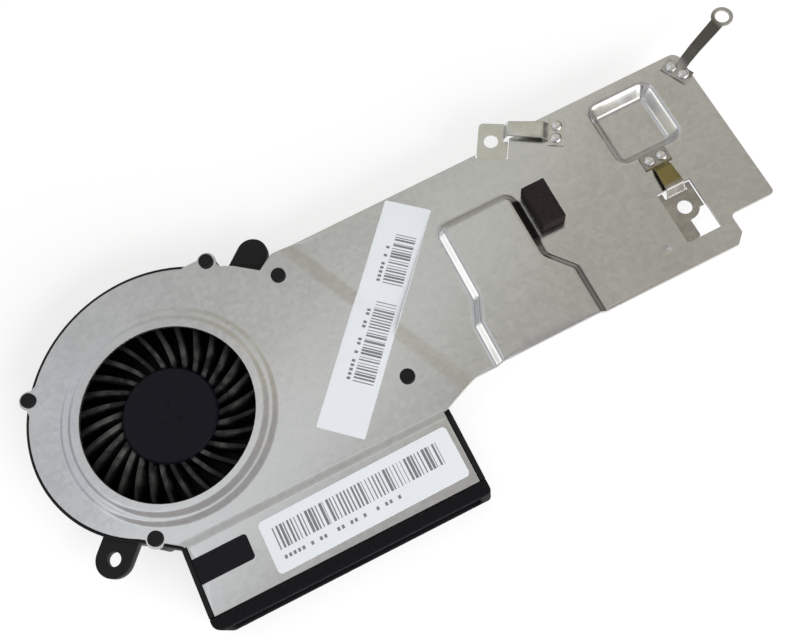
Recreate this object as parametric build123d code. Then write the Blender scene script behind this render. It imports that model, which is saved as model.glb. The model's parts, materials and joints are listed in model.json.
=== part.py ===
from build123d import *
import math
import os

# Blower with a stamped heat spreader for a small portable computer. Sizes are millimetres.
# Drawing frame: Z is the fan axis, +X runs along the spreader to the processor pocket, the air
# leaves towards -Y, and z = 0 is the top of the cover plate over the fan. The finished pieces
# are moved so that the origin is the middle of the face that lies on the processor.

# Cover plate and spreader, one sheet
sheet = 0.8
plate_top = 20.9
plate_low = -21.2
plate_front = -39.3
shoulder_x = 31.5
plate_notch_along = 9.4
plate_notch_deep = 1.0
arm_edge_rise = 1.0
plate_corner = 2.0
corner_cut_x = 10.0
corner_cut_y = 6.2
right_margin = 16.05
flare = 7.2
joggle = 0.5
joggle_width = 3.0
joggle_gap = 6.2
outlet_rise = 0.45
outlet_run = 1.0
outlet_back = 14.3

# Intake opening and its raised collar, which steps down twice to the plate
intake_r = 17.6
collar_flat = 1.7
collar_slope = 0.7
collar_shelf = 1.0
collar_rise = 0.55
shelf_rise = 0.25

# Pocket over the processor, pressed down
pocket_x = 110.25
pocket_y = 11.75
pocket_wide = 14.6
pocket_tall = 14.8
pocket_depth = 3.0
pocket_wall = 1.95
pocket_round = 2.5

# Tray raised over the board's parts, open at the plate's lower edge
tray_left = 63.2
tray_top = 10.1
tray_rise = 1.7
tray_wall = 1.5
tray_round = 2.5
tray_jog_round = 1.0
tray_right_gap = 29.45
tray_jog = 2.2
tray_flare = 4.2
tray_jog_y = -7.0
tray_flare_y = -5.2
tray_slant = 5.2
tray_overrun = 7.6

# Small dimple beside the front arm
dimple_r = 0.8
dimple_depth = 0.3
dimple_from_pocket = (-8.7, -27.2)

# Moulded case
case_depth = 8.2
floor_thick = 1.0
case_wall = 1.4
lip = 0.6
duct_lip = 1.15
lip_drop = 0.15
edge_gap = 0.1
scroll_gap = 8.3
throat_gap = 4.1
scroll_x = 1.36
scroll_y = 0.31
join_angle = 152.9
tongue_angle = 242.5
shoulder_angle = 62.0
wall_lean = 65.0
wall_round = 8.0
duct_left = -7.3
duct_right = 49.1
tongue_y = -25.4
duct_step = -24.5
lead_notch = 2.4
lead_notch_y = -26.3
seat_rim = 0.3
seat_margin = 1.5

# Staked pins that hold the plate to the case
pin_r = 1.0
pin_gap = 0.1
pin_head_r = 1.5
pin_head = 0.6
pin_boss = 1.7
plate_ear_r = 1.95
plate_ear_base = 4.75
left_pin_angle = 149.6
top_pin_along = 3.56
top_pin_out = 0.96
tongue_pin_angle = 249.9
tongue_pin_in = 0.55
bend_pin_along = 4.4
bend_pin_out = 0.67
corner_pin_back = 10.3
corner_pin_out = 0.17

# Ears of the case
ear_thick = 2.0
ear_angle = 233.05
ear_out = 3.46
ear_wide = 7.2
ear_hole = 2.8
tab_along = 12.73
tab_out = 3.0
tab_wide = 6.5

# Impeller
impeller_r = 21.5
hub_r = 9.7
hub_drop = 0.4
hub_cap = 0.8
hub_skirt = 1.0
hub_chamfer = 0.4
gate_count = 3
gate_r = 0.45
gate_out = 2.2
gate_deep = 0.15
gate_angle = 80.0
blade_count = 29
blade_thick = 0.9
blade_drop = 0.9
blade_sweep = 19.0
blade_bow = 0.6
blade_floor_gap = 0.7

# Motor and bearing
press_gap = 0.02
run_gap = 0.03
air_gap = 0.3
yoke_wall = 0.5
magnet_thick = 1.4
magnet_rim = 0.2
shoe = 0.9
shoe_angle = 34.0
back_iron = 0.8
tooth_wide = 1.6
coil_thick = 0.7
coil_clear = 0.6
shaft_r = 0.75
shaft_groove = 0.2
grip_wall = 0.6
grip_tall = 0.7
sleeve_wall = 1.2
tube_wall = 0.6
tube_flange = 0.8
tube_flange_thick = 0.5
thrust_thick = 0.3
washer_thick = 0.3
washer_play = 0.1
board_thick = 0.6
board_margin = 1.0
board_flat = 0.8
chip_wide = 2.2
chip_deep = 1.6
chip_tall = 0.5
chip_inset = 0.4

# Fins and the foam frame at the outlet
fin_pitch = 1.2
fin_thick = 0.25
fin_length = 11.0
fin_setback = 0.9
fin_floor_gap = 0.4
fin_side_gap = 0.5
gasket_deep = 2.8
gasket_bar = 1.6
gasket_side = 2.4
gasket_proud = 0.1
gasket_round = 2.0

# Spring arms and their rivets; places are measured from the middle of the pocket
arm_sheet = 0.4
arm_lift = 1.0
arm_base = 3.2
arm_base_wide = 6.0
arm_ramp = 1.2
eye_bore = 3.0
eye_ring = 4.6
eye_level = -1.2
notch_gap = 0.2
wing_gap = 0.45
rivet_r = 0.75
rivet_head_r = 1.2
rivet_head = 0.8
rivet_crown_r = 0.7
rivet_tail = 0.3
rivet_pitch = 2.8

left_root = (-15.0, 5.6)
left_angle = 148.6
left_reach = 13.3
left_side = 2.1
left_strip = 4.0
left_strip_end = 3.2
left_step = 10.75
left_run = 0.8
left_tab_near = 9.75
left_tab_far = 16.1
left_tab_wide = 8.3
left_tab_round = 1.0

right_root = (13.65, 5.95)
right_angle = 25.2
right_reach = 17.2
right_strip = 2.2
right_strip_end = 2.8
right_lift = 0.5

front_root = (-0.55, -9.3)
front_angle = -90.0
front_reach = 11.6
front_rivet_pitch = 2.7
front_strip = 3.0
front_strip_end = 4.2
front_step = 8.5
front_tab_long = 4.4
front_ring = 5.8
front_tail_wide = 3.1
front_tail_round = 0.6
front_window_start = 6.9
front_window_wide = 7.5
front_window_long = 11.8

# Stickers, tape and the foam spacer
label_thick = 0.1
label_x = 44.8
label_y = -0.9
label_long = 48.9
label_wide = 9.75
label_angle = 48.4
label_round = 0.3
outlet_label_x = 27.2
outlet_label_y = -32.5
outlet_label_long = 39.4
outlet_label_wide = 10.4
outlet_label_angle = 0.8
outlet_label_round = 0.9
tape_long = 11.0
tape_wide = 5.0
tape_round = 0.7
tape_y = -30.6
foam_from_pocket = (-25.6, -8.0)
foam_wide = 5.2
foam_long = 9.5
foam_tall = 3.1

# Levels worked out from the sizes above
under_plate = -sheet
under_outlet = outlet_rise - sheet
outlet_step = plate_front + outlet_back
case_under = under_plate - case_depth
floor_top = case_under + floor_thick
spreader_top = -joggle
contact_level = spreader_top - pocket_depth - sheet
plate_right = pocket_x + right_margin

board_top = floor_top + board_thick
rotor_low = board_top + chip_tall + air_gap
hub_top = under_plate - hub_drop
blade_top = under_plate - blade_drop
blade_low = floor_top + blade_floor_gap
yoke_top = hub_top - hub_cap
yoke_under = yoke_top - yoke_wall
grip_low = yoke_under - grip_tall
coil_low = board_top + coil_clear
coil_high = yoke_under - air_gap
core_low = coil_low + coil_thick
core_high = coil_high - coil_thick

# Radii of the motor, from the hub inwards and from the shaft outwards
yoke_r = hub_r - hub_skirt - press_gap
magnet_r = yoke_r - yoke_wall - press_gap
magnet_bore = magnet_r - magnet_thick
stator_r = magnet_bore - air_gap
shoe_in = stator_r - shoe
sleeve_bore = shaft_r + run_gap
sleeve_r = sleeve_bore + sleeve_wall
tube_bore = sleeve_r + press_gap
tube_r = tube_bore + tube_wall
flange_r = tube_r + tube_flange
core_bore = tube_r + press_gap
core_r = core_bore + back_iron

far = 200.0


def polygon(*points):
    """Flat face through the given corners, facing up whichever way they run."""
    area = 0.0
    for (x0, y0), (x1, y1) in zip(points, points[1:] + points[:1]):
        area += x0 * y1 - x1 * y0
    if area < 0:
        points = points[::-1]
    return Polygon(*points, align=None)


def prism(face, low, high):
    """Upright solid over a flat face, between two levels."""
    return extrude(Pos(0, 0, low) * face, high - low)


def revolved(*points):
    """Solid turned about the fan axis from corners given as radius and level."""
    return revolve(Plane.XZ * polygon(*points), Axis.Z)


def rounded(face, radius, *corners):
    """The face with its corners nearest to the given points rounded."""
    picked = []
    for corner in corners:
        target = Vector(*corner)
        picked.append(min(face.vertices(), key=lambda vertex: (Vector(vertex) - target).length))
    return fillet(picked, radius)


def turned(radius, degrees, centre=(0.0, 0.0)):
    """Point at a radius and an angle from a centre."""
    angle = math.radians(degrees)
    return (centre[0] + radius * math.cos(angle), centre[1] + radius * math.sin(angle))


def beside(start, heading, along, out):
    """Point along a heading from a start, and out to the left of it."""
    return turned(out, heading + 90.0, turned(along, heading, start))


# Plan points of the case, which the plate, the pins and the ears follow
scroll_r = impeller_r + scroll_gap
throat_r = impeller_r + throat_gap
scroll_centre = (scroll_x, scroll_y)
throat_centre = turned(scroll_r - throat_r, join_angle, scroll_centre)
tongue = turned(throat_r, tongue_angle, throat_centre)
shoulder = turned(scroll_r, shoulder_angle, scroll_centre)
duct_corner = (duct_right, duct_step)
run_heading = shoulder_angle - 90.0
lean_heading = -wall_lean


def wall_bend():
    """Where the straight run off the big arc's shoulder meets the leaning wall."""
    run = Vector(*turned(1.0, run_heading))
    lean = Vector(*turned(1.0, lean_heading))
    apart = Vector(*duct_corner) - Vector(*shoulder)
    along = (apart.X * lean.Y - apart.Y * lean.X) / (run.X * lean.Y - run.Y * lean.X)
    return turned(along, run_heading, shoulder)


bend = wall_bend()
edge_pins = [
    turned(scroll_r, left_pin_angle, scroll_centre),
    beside(shoulder, run_heading, top_pin_along, top_pin_out),
    turned(throat_r - tongue_pin_in, tongue_pin_angle, throat_centre),
]
inner_pins = [
    beside(bend, lean_heading, bend_pin_along, bend_pin_out),
    beside(duct_corner, lean_heading, -corner_pin_back, corner_pin_out),
]
ear_spot = turned(throat_r + ear_out, ear_angle, throat_centre)
tab_spot = beside(shoulder, run_heading, tab_along, tab_out)


def case_outline():
    """Plan of the case: two tangent scroll arcs, a leaning wall and the straight outlet duct."""
    edges = Curve() + [
        CenterArc(throat_centre, throat_r, join_angle, tongue_angle - join_angle),
        CenterArc(scroll_centre, scroll_r, shoulder_angle, join_angle - shoulder_angle),
        Polyline(
            shoulder,
            bend,
            duct_corner,
            (duct_right, plate_front),
            (duct_left, plate_front),
            (duct_left, tongue_y),
            tongue,
        ),
    ]
    return rounded(make_face(edges), wall_round, bend)


case_face = case_outline()
cavity = offset(case_face, -case_wall) + Pos(
    (duct_left + duct_right) / 2, plate_front
) * Rectangle(duct_right - duct_left - 2 * case_wall, 2 * fin_length)

# The sheet's joggle runs beside the leaning wall of the case.
joggle_normal = turned(1.0, 90.0 - wall_lean)
joggle_plane = Plane(
    origin=(
        duct_right + joggle_gap * joggle_normal[0],
        duct_step + joggle_gap * joggle_normal[1],
        0.0,
    ),
    x_dir=(joggle_normal[0], joggle_normal[1], 0.0),
    z_dir=(joggle_normal[1], -joggle_normal[0], 0.0),
)


def joggled_layer(low, high):
    """Endless sheet between two levels that steps down across the joggle."""
    half = joggle_width / 2
    section = polygon(
        (-far, high),
        (-half, high),
        (half, high - joggle),
        (far, high - joggle),
        (far, low - joggle),
        (half, low - joggle),
        (-half, low),
        (-far, low),
    )
    return extrude(joggle_plane * section, far, both=True)


def stepped_layer(low, high):
    """Endless sheet between two levels that steps up over the outlet."""
    foot = outlet_step + outlet_run / 2
    head = outlet_step - outlet_run / 2
    section = polygon(
        (far, high),
        (foot, high),
        (head, high + outlet_rise),
        (-far, high + outlet_rise),
        (-far, low + outlet_rise),
        (head, low + outlet_rise),
        (foot, low),
        (far, low),
    )
    return extrude(Plane.YZ * section, far, both=True)


def from_pocket(point):
    """Point given from the middle of the processor pocket."""
    return (pocket_x + point[0], pocket_y + point[1])


def plate_ear(pin):
    """Small ear of the plate round a staked pin outside the scroll."""
    outward = math.degrees(math.atan2(pin[1] - scroll_y, pin[0] - scroll_x))
    flanks = polygon(
        (0.0, plate_ear_r),
        (-plate_ear_r, plate_ear_base),
        (-2 * plate_ear_r, plate_ear_base),
        (-2 * plate_ear_r, -plate_ear_base),
        (-plate_ear_r, -plate_ear_base),
        (0.0, -plate_ear_r),
    )
    return Pos(*pin) * Rot(0, 0, outward) * (Circle(plate_ear_r) + flanks)


def arm_place(root, angle):
    """Where an arm's own frame lies: on the spreader, X along the arm."""
    spot = from_pocket(root)
    return Pos(spot[0], spot[1], spreader_top) * Rot(0, 0, angle)


left_place = arm_place(left_root, left_angle)
right_place = arm_place(right_root, right_angle)
front_place = arm_place(front_root, front_angle)


def flat_place(root, angle):
    """The same place on the plan, for the plate's own cuts."""
    return Pos(*from_pocket(root)) * Rot(0, 0, angle)


def left_tab():
    """Broad end of the left arm, in the arm's own frame."""
    tab = Rectangle(left_tab_far - left_tab_near, left_tab_wide)
    middle = (left_tab_near + left_tab_far) / 2
    return Pos(middle, left_side) * fillet(tab.vertices(), left_tab_round)


def plate_outline():
    """Plan of the whole sheet, without its holes."""
    arm_edge = plate_top + arm_edge_rise
    cut_x = plate_right - corner_cut_x
    cut_y = plate_low + corner_cut_y
    right_part = polygon(
        (0.0, 0.0),
        shoulder,
        turned(plate_notch_along, run_heading, shoulder),
        turned(-plate_notch_deep, shoulder_angle, bend),
        (shoulder_x, plate_top),
        (pocket_x + left_root[0] - arm_base_wide, plate_top),
        (pocket_x + left_root[0] - arm_base, arm_edge),
        (plate_right, arm_edge),
        (plate_right, cut_y),
        (cut_x, cut_y),
        (cut_x, plate_low + plate_corner),
        (cut_x - plate_corner, plate_low),
        (duct_right + flare, plate_low),
        (duct_right - lip, duct_step),
        (0.0, duct_step),
    )
    right_part = rounded(right_part, plate_corner, (plate_right, arm_edge))
    right_part = rounded(right_part, plate_corner / 2, (plate_right, cut_y), (cut_x, cut_y))
    right_part = rounded(right_part, 2 * plate_corner, (duct_right + flare, plate_low))
    outlet = Pos((duct_left + duct_right) / 2, (plate_front + tongue_y) / 2) * Rectangle(
        duct_right - duct_left - 2 * lip, tongue_y - plate_front
    )
    face = offset(case_face, -lip) + right_part + outlet
    for side, end in ((duct_left, tongue_y), (duct_right, duct_step)):
        face -= Pos(side, plate_front) * Rectangle(2 * duct_lip, 2 * (end - plate_front))
    for pin in edge_pins:
        face += plate_ear(pin)
    return face


plate_face = plate_outline()


def tray_plan():
    """Foot of the raised tray; it runs out past the plate's lower edge."""
    right = pocket_x - tray_right_gap
    below = plate_low - tray_overrun
    plan = polygon(
        (tray_left, tray_top),
        (right, tray_top),
        (right, tray_flare_y),
        (right + tray_flare, tray_flare_y - tray_slant),
        (right + tray_flare, below),
        (tray_left - tray_jog, below),
        (tray_left - tray_jog, tray_jog_y - tray_slant),
        (tray_left, tray_jog_y),
    )
    plan = rounded(plan, tray_jog_round, (tray_left, tray_jog_y), (right, tray_flare_y))
    return rounded(plan, tray_round, (tray_left, tray_top), (right, tray_top))


def pocket_plan():
    """Mouth of the pocket on the spreader's top."""
    mouth = Rectangle(pocket_wide, pocket_tall)
    return Pos(pocket_x, pocket_y) * fillet(mouth.vertices(), pocket_round)


def heat_spreader():
    """Stamped sheet: fan cover, outlet cover, tray, processor pocket, arm cut-outs."""
    blank = prism(plate_face, -far, far)
    fan_side = Pos(0, outlet_step + outlet_run + far) * Rectangle(2 * far, 2 * far)
    body = joggled_layer(under_plate, 0.0) & prism(plate_face & fan_side, -far, far)
    body += stepped_layer(under_plate, 0.0) & prism(plate_face - fan_side, -far, far)

    # Pocket pressed down and tray pressed up, both with sloping walls.
    tray_draft = math.degrees(math.atan2(tray_wall, tray_rise))
    pocket_draft = math.degrees(math.atan2(pocket_wall, pocket_depth))
    spreader_under = spreader_top - sheet
    tray_face = tray_plan()
    pocket_face = pocket_plan()
    hump = extrude(Pos(0, 0, spreader_top) * tray_face, tray_rise, taper=tray_draft)
    hollow = extrude(Pos(0, 0, spreader_under) * tray_face, tray_rise, taper=tray_draft)
    bowl = extrude(Pos(0, 0, spreader_under) * pocket_face, -pocket_depth, taper=pocket_draft)
    dip = extrude(Pos(0, 0, spreader_top) * pocket_face, -pocket_depth, taper=pocket_draft)
    body = body + (hump & blank) + bowl - hollow - dip

    # Collar raised round the intake: a ledge, a slope, a lower shelf and a second slope.
    ledge_r = intake_r + collar_flat
    shelf_r = ledge_r + collar_slope
    foot_r = shelf_r + collar_shelf + collar_slope
    crown = [
        (intake_r, collar_rise),
        (ledge_r, collar_rise),
        (shelf_r, shelf_rise),
        (shelf_r + collar_shelf, shelf_rise),
        (foot_r, 0.0),
    ]
    belly = [(radius, level - sheet) for radius, level in reversed(crown)]
    collar_room = prism(Circle(foot_r), -2 * sheet, sheet)
    body = body - collar_room + (revolved(*crown, *belly) & blank)

    # Holes for the pins and rivets, the arms' windows and the dimple.
    holes = Sketch()
    for pin in edge_pins + inner_pins:
        holes += Pos(*pin) * Circle(pin_r + pin_gap)
    for spot in rivet_spots():
        holes += Pos(*spot) * Circle(rivet_r + press_gap)
    notch = Pos((left_tab_near + left_tab_far) / 2, left_side) * Rectangle(
        left_tab_far - left_tab_near + 2 * notch_gap, left_tab_wide + 2 * notch_gap
    )
    holes += flat_place(left_root, left_angle) * notch
    window = Pos(front_window_start + front_window_long / 2, 0) * Rectangle(
        front_window_long, front_window_wide
    )
    holes += flat_place(front_root, front_angle) * window
    body = body - prism(holes, -far, far)
    dimple = revolved((0.0, 0.0), (dimple_r, 0.0), (0.0, -dimple_depth))
    dimple_spot = from_pocket(dimple_from_pocket)
    return body - Pos(dimple_spot[0], dimple_spot[1], spreader_top) * dimple


def arm_rivet_rows():
    """Root, angle and pitch of each arm's pair of rivets."""
    return [
        (left_root, left_angle, rivet_pitch),
        (right_root, right_angle, rivet_pitch),
        (front_root, front_angle, front_rivet_pitch),
    ]


def rivet_spots():
    """Plan places of the six rivets, two across the foot of each arm."""
    spots = []
    for root, angle, pitch in arm_rivet_rows():
        for side in (-0.5, 0.5):
            spots.append(turned(side * pitch, angle + 90.0, from_pocket(root)))
    return spots


def case_lug(spot, wide):
    """Plan of a round-ended lug that runs from its spot in to the scroll wall."""
    inward = math.degrees(math.atan2(-spot[1], -spot[0]))
    plan = Circle(wide / 2) + Pos(wide / 2, 0) * Rectangle(wide, wide)
    return Pos(*spot) * Rot(0, 0, inward) * plan


def fan_housing():
    """Black moulded case with its scroll wall, lip, ears and staked pins."""
    wall = case_face - cavity
    body = prism(case_face, case_under, floor_top) + prism(wall, floor_top, under_plate)
    lip_face = case_face - offset(plate_face, edge_gap)
    body += prism(lip_face, under_plate, -lip_drop)
    zone_top = outlet_step - outlet_run / 2 - edge_gap
    zone = Pos(0, zone_top - far) * Rectangle(2 * far, 2 * far)
    body += prism(wall & zone, under_plate, under_outlet)
    body += prism(lip_face & zone, under_plate, outlet_rise - lip_drop)

    # Ears for the fixing screws.
    ears = case_lug(ear_spot, ear_wide) + case_lug(tab_spot, tab_wide)
    ears = ears - cavity - Pos(*ear_spot) * Circle(ear_hole / 2)
    body += prism(ears, under_plate - ear_thick, under_plate)

    # Pins stand on bosses, pass the plate and end in staked heads.
    for pin in edge_pins + inner_pins:
        spot = Pos(*pin)
        body += prism(spot * Circle(pin_boss), case_under, under_plate)
        body += prism(spot * Circle(pin_r), under_plate, 0.0)
        body += prism(spot * Circle(pin_head_r), 0.0, pin_head)

    # Socket for the bearing tube, a rim round the board and the notch for the fan lead.
    body -= prism(Circle(tube_r + press_gap), case_under - floor_thick, floor_top)
    seat_r = hub_r - board_margin + edge_gap
    body += prism(Circle(seat_r + seat_margin) - Circle(seat_r), floor_top, floor_top + seat_rim)
    notch = Pos(duct_left, lead_notch_y) * Rectangle(4 * case_wall, lead_notch)
    return body - prism(notch, under_plate - lead_notch, under_plate)


def impeller():
    """Moulded hub with a ring of backward-swept blades."""
    skirt_bore = hub_r - hub_skirt
    hub = revolved(
        (0.0, hub_top),
        (hub_r - hub_chamfer, hub_top),
        (hub_r, hub_top - hub_chamfer),
        (hub_r, rotor_low),
        (skirt_bore, rotor_low),
        (skirt_bore, yoke_top),
        (0.0, yoke_top),
    )
    root = Vector(hub_r - hub_skirt / 2, 0.0)
    tip = Vector(*turned(impeller_r - blade_thick / 2, blade_sweep))
    chord = (tip - root).normalized()
    across = Vector(-chord.Y, chord.X)
    half = across * (blade_thick / 2)
    middle = (root + tip) * 0.5 - across * blade_bow
    outline = Curve() + [
        ThreePointArc(root + half, middle + half, tip + half),
        Line(tip + half, tip - half),
        ThreePointArc(tip - half, middle - half, root - half),
        Line(root - half, root + half),
    ]
    blade = prism(make_face(outline), blade_low, blade_top)
    blades = [Rot(0, 0, 360.0 * k / blade_count) * blade for k in range(blade_count)]
    gates = Sketch()
    for k in range(gate_count):
        gates += Pos(*turned(gate_out, gate_angle + 360.0 * k / gate_count)) * Circle(gate_r)
    return hub + blades - prism(gates, hub_top - gate_deep, hub_top + gate_deep)


def rotor_yoke():
    """Steel cup inside the hub, with a drawn neck that grips the shaft."""
    grip = shaft_r + press_gap
    return revolved(
        (grip, yoke_top),
        (yoke_r, yoke_top),
        (yoke_r, rotor_low),
        (yoke_r - yoke_wall, rotor_low),
        (yoke_r - yoke_wall, yoke_under),
        (grip + grip_wall, yoke_under),
        (grip + grip_wall, grip_low),
        (grip, grip_low),
    )


def rotor_magnet():
    """Ring magnet bonded in the yoke."""
    return prism(Circle(magnet_r) - Circle(magnet_bore), rotor_low + magnet_rim, yoke_under)


# Levels in the bearing: tube floor, thrust plate, washer and sleeve, from below
tube_floor = case_under + floor_thick / 2
thrust_top = tube_floor + thrust_thick
washer_low = thrust_top + 2 * washer_play
washer_high = washer_low + washer_thick
sleeve_low = washer_high + washer_play
sleeve_high = grip_low - air_gap


def rotor_shaft():
    """Shaft with a groove for the retaining washer."""
    groove_r = shaft_r - shaft_groove
    foot = thrust_top + press_gap
    return revolved(
        (0.0, yoke_top),
        (shaft_r, yoke_top),
        (shaft_r, washer_high + washer_play),
        (groove_r, washer_high + washer_play),
        (groove_r, washer_low - washer_play),
        (shaft_r, washer_low - washer_play),
        (shaft_r, foot + washer_play / 2),
        (shaft_r - washer_play, foot),
        (0.0, foot),
    )


def bearing_tube():
    """Turned cup in the case floor that carries the bearing and the stator."""
    return revolved(
        (0.0, case_under),
        (tube_r, case_under),
        (tube_r, floor_top),
        (flange_r, floor_top),
        (flange_r, floor_top + tube_flange_thick),
        (tube_r, floor_top + tube_flange_thick),
        (tube_r, sleeve_high),
        (tube_bore, sleeve_high),
        (tube_bore, tube_floor),
        (0.0, tube_floor),
    )


def bearing_sleeve():
    """Sintered sleeve that the shaft runs in."""
    return prism(Circle(sleeve_r) - Circle(sleeve_bore), sleeve_low, sleeve_high)


def thrust_plate():
    """Disc under the end of the shaft."""
    return prism(Circle(sleeve_r), tube_floor, thrust_top)


def retaining_washer():
    """Washer in the shaft's groove that keeps the rotor from lifting out."""
    bore = shaft_r - shaft_groove + run_gap
    return prism(Circle(sleeve_r) - Circle(bore), washer_low, washer_high)


def stator_core():
    """Four-pole core on the bearing tube."""
    wedge = polygon((0.0, 0.0), turned(2 * stator_r, -shoe_angle), turned(2 * stator_r, shoe_angle))
    pole = (Circle(stator_r) - Circle(shoe_in)) & wedge
    tooth_long = (shoe_in + stator_r) / 2 - core_bore
    tooth = Pos(core_bore + tooth_long / 2, 0) * Rectangle(tooth_long, tooth_wide)
    plan = Circle(core_r)
    for k in range(4):
        plan += Rot(0, 0, 90.0 * k) * (pole + tooth)
    return prism(plan - Circle(core_bore), core_low, core_high)


def stator_coils():
    """Four windings, one round each tooth."""
    inner = core_r + press_gap
    wide = tooth_wide + 2 * coil_thick
    long = math.sqrt(shoe_in**2 - wide**2 / 4) - press_gap - inner
    tall = coil_high - coil_low
    winding = Box(long, wide, tall)
    winding = fillet(winding.edges().filter_by(Axis.X), coil_thick / 2)
    winding -= Box(2 * long, tooth_wide + 2 * press_gap, core_high - core_low + 2 * press_gap)
    winding = Pos(inner + long / 2, 0, (coil_low + coil_high) / 2) * winding
    return [Rot(0, 0, 90.0 * k) * winding for k in range(4)]


def driver_board():
    """Round circuit board on the case floor, with one flat side."""
    board_r = hub_r - board_margin
    disc = Circle(board_r) - Circle(flange_r + edge_gap)
    flat = Pos(0, board_flat - 2 * board_r) * Rectangle(2 * board_r, 2 * board_r)
    return prism(disc - flat, floor_top, board_top)


def driver_chip():
    """Sensor and driver chip under the ring magnet."""
    middle = (magnet_bore + magnet_r) / 2 - chip_inset
    return prism(Pos(0, middle) * Rectangle(chip_wide, chip_deep), board_top, board_top + chip_tall)


def fin_stack():
    """Row of flat fins soldered between two cover sheets."""
    low = floor_top + fin_floor_gap
    room = duct_right - duct_left - 2 * (case_wall + fin_side_gap)
    gaps = int((room - fin_thick) / fin_pitch)
    long = gaps * fin_pitch + fin_thick
    spot = Pos((duct_left + duct_right) / 2, plate_front + fin_setback + fin_length / 2)
    cover = spot * Rectangle(long, fin_length)
    fin = spot * Pos((fin_thick - long) / 2, 0) * Rectangle(fin_thick, fin_length)
    fin = prism(fin, low + fin_thick, under_outlet - fin_thick)
    covers = [prism(cover, low, low + fin_thick), prism(cover, under_outlet - fin_thick, under_outlet)]
    return covers + [Pos(k * fin_pitch, 0, 0) * fin for k in range(gaps + 1)]


def outlet_gasket():
    """Foam frame glued round the mouth of the outlet."""
    wide = duct_right - duct_left
    top = outlet_rise + gasket_proud
    tall = top - case_under
    middle = (duct_left + duct_right) / 2
    frame = Rectangle(wide, tall) - Rectangle(wide - 2 * gasket_side, tall - 2 * gasket_bar)
    body = extrude(Plane.XZ * frame, gasket_deep)
    body = Pos(middle, plate_front, (top + case_under) / 2) * body
    for end, radius in ((0, gasket_round), (-1, gasket_round / 2)):
        front_edges = body.edges().filter_by(Axis.Z).group_by(Axis.Y)[0]
        body = fillet(front_edges.sort_by(Axis.X)[end], radius)
    return body


def arm_sheet_side(reach, step, run, lift):
    """Side view of an arm: flat foot, rise, raised strip, step down and flat end."""
    foot = arm_base / 2
    line = [
        (-arm_base, 0.0),
        (foot, 0.0),
        (foot + arm_ramp, lift),
        (step - run, lift),
        (step, eye_level),
        (2 * reach, eye_level),
    ]
    upper = [(along, level + arm_sheet) for along, level in reversed(line)]
    return extrude(Plane.XZ * polygon(*line, *upper), eye_ring * 2, both=True)


def spring_arm(reach, side, pitch, widths, end, step, run, lift=arm_lift):
    """Leaf spring in its own frame: foot with two rivet holes, strip and screw eye."""
    start, finish = widths
    strip = polygon((0.0, start / 2), (step, finish / 2), (step, -finish / 2), (0.0, -start / 2))
    neck = Pos((step + reach) / 2, 0) * Rectangle(reach - step, finish)
    foot = Rectangle(arm_base, arm_base_wide - rivet_pitch + pitch)
    plan = foot + strip + neck + end - Pos(reach, side) * Circle(eye_bore / 2)
    for across in (-pitch / 2, pitch / 2):
        plan -= Pos(0, across) * Circle(rivet_r + press_gap)
    return arm_sheet_side(reach, step, run, lift) & prism(plan, -far, far)


def arm_left():
    """Arm beside the tray, with a broad eye tab that hangs in the plate's notch."""
    past_step = Pos(left_step + left_tab_far / 2, left_side) * Rectangle(left_tab_far, 2 * left_tab_wide)
    end = left_tab() & past_step
    widths = (left_strip, left_strip_end)
    arm = spring_arm(left_reach, left_side, rivet_pitch, widths, end, left_step, left_run)
    wing_low = left_strip_end / 2 + wing_gap
    wing = Pos(left_reach / 2, wing_low + left_tab_wide / 2) * Rectangle(left_reach, left_tab_wide)
    wing = (left_tab() & wing) - Pos(left_reach, left_side) * Circle(eye_bore / 2)
    return left_place * (arm + prism(wing, eye_level, eye_level + arm_sheet))


def arm_right():
    """Arm off the plate's far corner, with a ring eye."""
    step = right_reach - eye_ring / 2
    ring = Pos(right_reach, 0) * Circle(eye_ring / 2)
    widths = (right_strip, right_strip_end)
    slope = right_reach / 2
    arm = spring_arm(right_reach, 0.0, rivet_pitch, widths, ring, step, slope, right_lift)
    return right_place * arm


def arm_front():
    """Arm over the plate's window, stepped down to a broad tab with two wings, a ring eye and a tail."""
    wide = front_window_wide - 2 * notch_gap
    tail_end = front_window_start + front_window_long - notch_gap
    tail_side = front_tail_wide - wide / 2
    tail = polygon(
        (front_step, -wide / 2), (tail_end, -wide / 2), (tail_end, tail_side), (front_step, tail_side)
    )
    tail = rounded(tail, front_tail_round, (tail_end, -wide / 2), (tail_end, tail_side))
    end = Pos(front_reach, 0) * Circle(front_ring / 2) + tail
    end += Pos(front_step + front_tab_long / 2, 0) * Rectangle(front_tab_long, wide)
    widths = (front_strip, front_strip_end)
    arm = spring_arm(front_reach, 0.0, front_rivet_pitch, widths, end, front_step, arm_ramp)
    wing_start = front_window_start + notch_gap
    wing_end = front_step + wing_gap
    wings = Pos((wing_start + wing_end) / 2, 0) * (
        Rectangle(wing_end - wing_start, wide)
        - Rectangle(wing_end - wing_start, front_strip_end + 2 * wing_gap)
    )
    return front_place * (arm + prism(wings, eye_level, eye_level + arm_sheet))


def arm_rivets():
    """Six rivets through the arms' feet and the spreader."""
    head_low = spreader_top + arm_sheet
    tail_top = spreader_top - sheet
    rivet = revolved(
        (0.0, head_low + rivet_head),
        (rivet_crown_r, head_low + rivet_head),
        (rivet_head_r, head_low),
        (rivet_r, head_low),
        (rivet_r, tail_top),
        (rivet_head_r, tail_top),
        (rivet_head_r, tail_top - rivet_tail),
        (0.0, tail_top - rivet_tail),
    )
    return [Pos(*spot) * rivet for spot in rivet_spots()]


def sticker_plan(x, y, long, wide, angle, radius):
    """Plan of a label with rounded corners."""
    corners = Rectangle(long, wide)
    return Pos(x, y) * Rot(0, 0, angle) * fillet(corners.vertices(), radius)


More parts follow.
